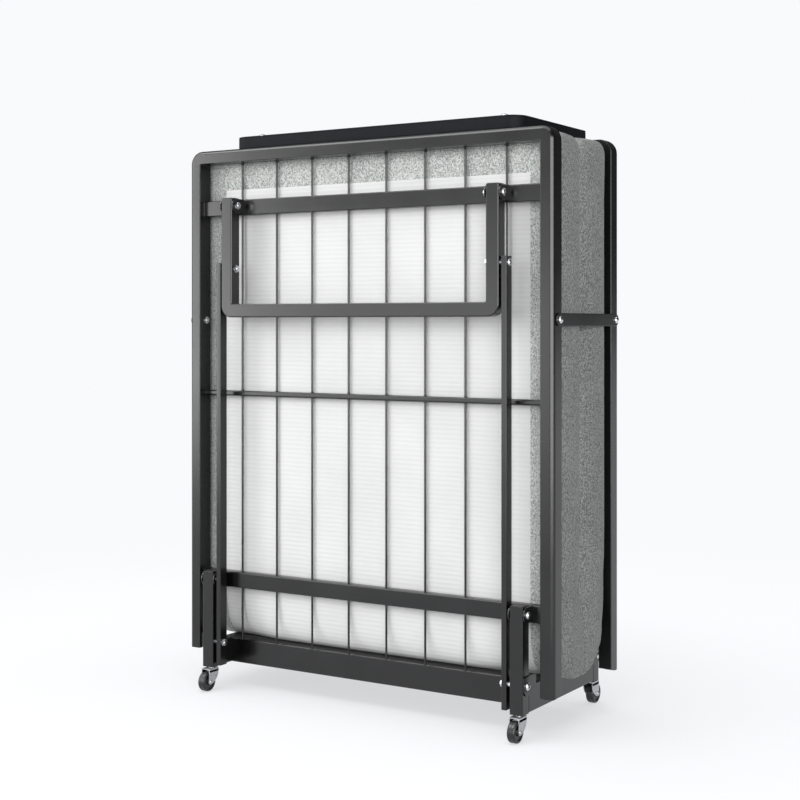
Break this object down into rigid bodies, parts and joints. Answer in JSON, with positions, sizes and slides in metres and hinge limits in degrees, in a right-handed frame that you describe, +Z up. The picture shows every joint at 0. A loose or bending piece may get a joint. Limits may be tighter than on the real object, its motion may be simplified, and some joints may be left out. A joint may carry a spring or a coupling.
{
  "type": "folding cot",
  "caption": "Rollaway folding cot, stored folded upright on swivel casters: hinged steel deck frames, swing-out U legs, a padded mattress, latch bars and a headboard.",
  "frame": {"origin": "on the floor, under the middle of the folded cot", "axes": "+X across the bed, towards the right-hand latch; +Y from the headboard's deck to the other deck, through the folded thickness; +Z up"},
  "size_m": [0.796, 0.3476, 1.065],
  "materials": {
    "black_paint": "satin",
    "chrome_plating": "polished",
    "wheel_rubber": "satin",
    "mattress_fabric": "matte",
    "mattress_backing": "matte",
    "headboard_laminate": "matte"
  },
  "bodies": {
    "base": {"cross_rail_near": "black_paint", "post_near_left": "black_paint", "deck_bolt_near_left": "chrome_plating", "link_base_bolt_near_left": "chrome_plating", "post_near_right": "black_paint", "deck_bolt_near_right": "chrome_plating", "link_base_bolt_near_right": "chrome_plating", "cross_rail_far": "black_paint", "post_far_left": "black_paint", "deck_bolt_far_left": "chrome_plating", "link_base_bolt_far_left": "chrome_plating", "post_far_right": "black_paint", "deck_bolt_far_right": "chrome_plating", "link_base_bolt_far_right": "chrome_plating", "side_rail_left": "black_paint", "side_rail_right": "black_paint"},
    "deck_near": {"deck_frame_near": "black_paint", "upper_crossbar_near": "black_paint", "lower_crossbar_near": "black_paint", "wire_grid_near": "black_paint", "mattress_near": "mattress_fabric", "leg_bolt_near_left": "chrome_plating", "leg_bolt_near_right": "chrome_plating", "latch_bolt_left": "chrome_plating", "latch_bolt_right": "chrome_plating", "headboard": "headboard_laminate", "headboard_bolt_left": "chrome_plating", "headboard_bolt_right": "chrome_plating"},
    "leg_near": {"leg_near": "black_paint", "link_top_bolt_near_left": "chrome_plating", "link_top_bolt_near_right": "chrome_plating"},
    "links_near": {"link_near_left": "black_paint", "link_near_right": "black_paint"},
    "mattress_fold_near": {"mattress_fold_near": "mattress_backing"},
    "deck_far": {"deck_frame_far": "black_paint", "upper_crossbar_far": "black_paint", "lower_crossbar_far": "black_paint", "wire_grid_far": "black_paint", "mattress_far": "mattress_fabric", "leg_bolt_far_left": "chrome_plating", "leg_bolt_far_right": "chrome_plating", "latch_stud_left": "chrome_plating", "latch_stud_right": "chrome_plating"},
    "leg_far": {"leg_far": "black_paint", "link_top_bolt_far_left": "chrome_plating", "link_top_bolt_far_right": "chrome_plating"},
    "links_far": {"link_far_left": "black_paint", "link_far_right": "black_paint"},
    "mattress_fold_far": {"mattress_fold_far": "mattress_backing"},
    "latch_left": {"latch_bar_left": "black_paint"},
    "latch_right": {"latch_bar_right": "black_paint"},
    "caster_near_left": {"caster_fork_near_left": "chrome_plating"},
    "wheel_near_left": {"caster_wheel_near_left": "wheel_rubber"},
    "caster_near_right": {"caster_fork_near_right": "chrome_plating"},
    "wheel_near_right": {"caster_wheel_near_right": "wheel_rubber"},
    "caster_far_left": {"caster_fork_far_left": "chrome_plating"},
    "wheel_far_left": {"caster_wheel_far_left": "wheel_rubber"},
    "caster_far_right": {"caster_fork_far_right": "chrome_plating"},
    "wheel_far_right": {"caster_wheel_far_right": "wheel_rubber"}
  },
  "joints": [
    {"name": "unfold", "type": "hinge", "parent": "base", "child": "deck_near", "pos_m": [0, -0.1408, 0.212], "axis": [1, 0, 0], "range_deg": [0, 90]},
    {"name": "leg_swing_near", "type": "hinge", "parent": "deck_near", "child": "leg_near", "pos_m": [0, -0.1408, 0.922], "axis": [-1, 0, 0], "range_deg": [0, 90]},
    {"name": "link_swing_near", "type": "hinge", "parent": "base", "child": "links_near", "pos_m": [0, -0.1408, 0.093], "axis": [1, 0, 0], "range_deg": [0, 90]},
    {"name": "mattress_bend_near", "type": "hinge", "parent": "deck_near", "child": "mattress_fold_near", "pos_m": [0, -0.0555, 0.1267], "axis": [-1, 0, 0], "range_deg": [0, 90], "deforming": ["mattress_fold_near"]},
    {"name": "unfold_far", "type": "hinge", "parent": "base", "child": "deck_far", "pos_m": [0, 0.1408, 0.212], "axis": [-1, 0, 0], "range_deg": [0, 90]},
    {"name": "leg_swing_far", "type": "hinge", "parent": "deck_far", "child": "leg_far", "pos_m": [0, 0.1408, 0.922], "axis": [1, 0, 0], "range_deg": [0, 90]},
    {"name": "link_swing_far", "type": "hinge", "parent": "base", "child": "links_far", "pos_m": [0, 0.1408, 0.093], "axis": [-1, 0, 0], "range_deg": [0, 90]},
    {"name": "mattress_bend_far", "type": "hinge", "parent": "deck_far", "child": "mattress_fold_far", "pos_m": [0, 0.0555, 0.1267], "axis": [1, 0, 0], "range_deg": [0, 90], "deforming": ["mattress_fold_far"]},
    {"name": "latch_left_swing", "type": "hinge", "parent": "deck_near", "child": "latch_left", "pos_m": [-0.3921, -0.115, 0.706], "axis": [1, 0, 0], "range_deg": [0, 175]},
    {"name": "latch_right_swing", "type": "hinge", "parent": "deck_near", "child": "latch_right", "pos_m": [0.3921, -0.115, 0.706], "axis": [1, 0, 0], "range_deg": [0, 175]},
    {"name": "swivel_near_left", "type": "hinge", "parent": "base", "child": "caster_near_left", "pos_m": [-0.3301, -0.1408, 0.045], "axis": [0, 0, 1], "continuous": true},
    {"name": "roll_near_left", "type": "hinge", "parent": "caster_near_left", "child": "wheel_near_left", "pos_m": [-0.3301, -0.1553, 0.0185], "axis": [1, 0, 0], "continuous": true},
    {"name": "swivel_near_right", "type": "hinge", "parent": "base", "child": "caster_near_right", "pos_m": [0.3301, -0.1408, 0.045], "axis": [0, 0, 1], "continuous": true},
    {"name": "roll_near_right", "type": "hinge", "parent": "caster_near_right", "child": "wheel_near_right", "pos_m": [0.3301, -0.1553, 0.0185], "axis": [1, 0, 0], "continuous": true},
    {"name": "swivel_far_left", "type": "hinge", "parent": "base", "child": "caster_far_left", "pos_m": [-0.3301, 0.1408, 0.045], "axis": [0, 0, 1], "continuous": true},
    {"name": "roll_far_left", "type": "hinge", "parent": "caster_far_left", "child": "wheel_far_left", "pos_m": [-0.3301, 0.1553, 0.0185], "axis": [1, 0, 0], "continuous": true},
    {"name": "swivel_far_right", "type": "hinge", "parent": "base", "child": "caster_far_right", "pos_m": [0.3301, 0.1408, 0.045], "axis": [0, 0, 1], "continuous": true},
    {"name": "roll_far_right", "type": "hinge", "parent": "caster_far_right", "child": "wheel_far_right", "pos_m": [0.3301, 0.1553, 0.0185], "axis": [1, 0, 0], "continuous": true}
  ],
  "couplings": [
    {"joint": "leg_swing_near", "follows": "unfold", "ratio": 1},
    {"joint": "link_swing_near", "follows": "unfold", "ratio": 1},
    {"joint": "mattress_bend_near", "follows": "unfold", "ratio": 1},
    {"joint": "unfold_far", "follows": "unfold", "ratio": 1},
    {"joint": "leg_swing_far", "follows": "unfold", "ratio": 1},
    {"joint": "link_swing_far", "follows": "unfold", "ratio": 1},
    {"joint": "mattress_bend_far", "follows": "unfold", "ratio": 1}
  ]
}
